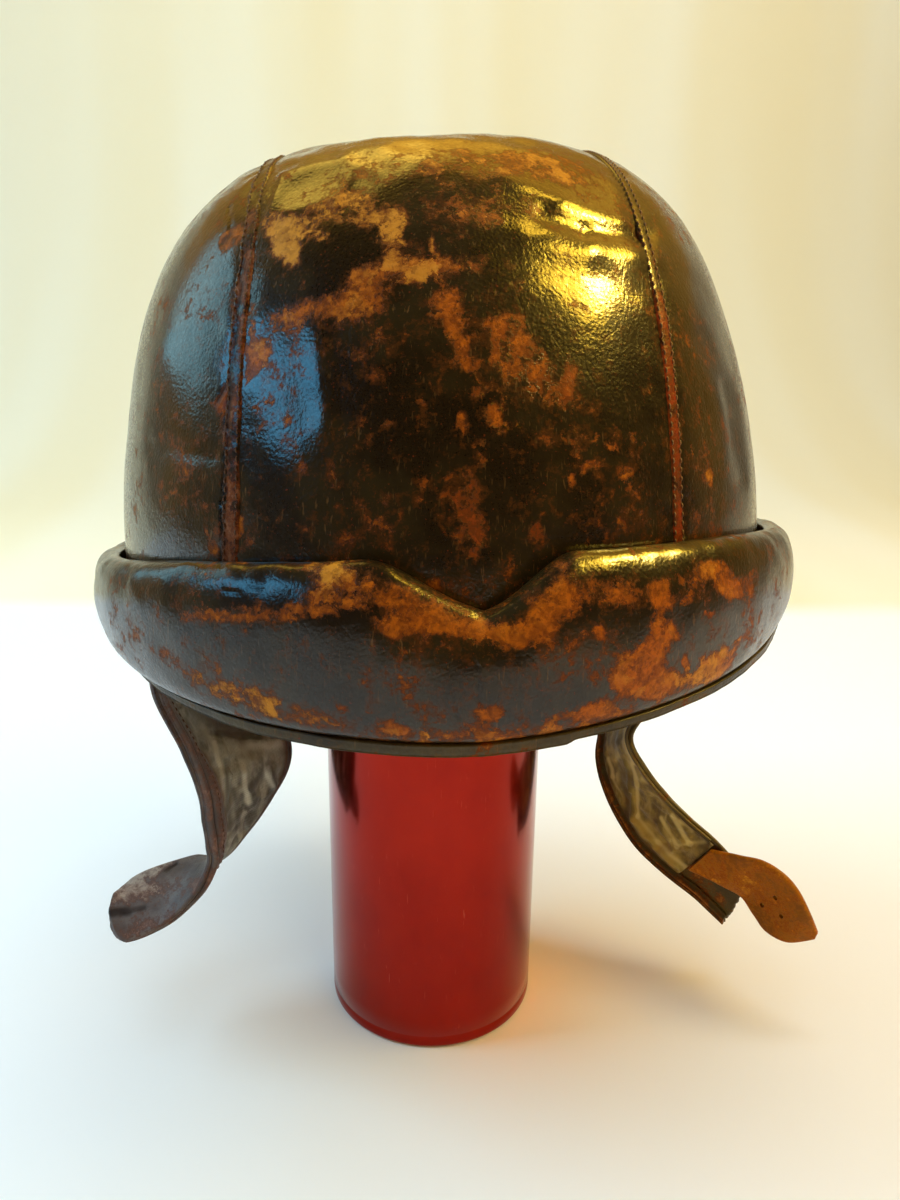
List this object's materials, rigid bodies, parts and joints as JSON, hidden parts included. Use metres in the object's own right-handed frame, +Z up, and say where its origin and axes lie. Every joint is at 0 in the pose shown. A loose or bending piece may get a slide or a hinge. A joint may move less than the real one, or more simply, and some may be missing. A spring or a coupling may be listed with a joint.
{
  "type": "leather motorcycle helmet on a cylindrical stand",
  "caption": "Worn padded leather crash helmet with brow roll, two cloth-lined ear flaps and a chin tab, resting on a plain cylinder.",
  "frame": {"origin": "middle of the stand's flat foot, which rests on the surface", "axes": "+Z up, -Y towards the front of the helmet where the notch in the brow roll is, +X to the right as seen from the front"},
  "size_m": [0.2688, 0.2624, 0.3147],
  "materials": {
    "leather": "glossy black-brown lacquered leather, worn through to red-brown and ochre, fine grain and cracks",
    "worn_leather": "brown leather with its lacquer worn off, satin",
    "cloth": "olive-grey wrinkled lining cloth, matt",
    "red_tin": "glossy metallic red lacquer on tinplate"
  },
  "bodies": {
    "root": {"crown_middle_panel": "leather", "crown_left_panel": "leather", "crown_right_panel": "leather", "seam_strip_left": "worn_leather", "seam_strip_right": "worn_leather", "brow_roll": "leather", "rim_binding": "leather", "ear_flap_left": "leather", "ear_lining_left": "cloth", "ear_hem_left_front": "leather", "ear_hem_left_rear": "leather", "ear_flap_right": "leather", "ear_lining_right": "cloth", "ear_hem_right_front": "leather", "ear_hem_right_rear": "leather", "chin_tab": "worn_leather", "stand": "red_tin"}
  },
  "joints": []
}
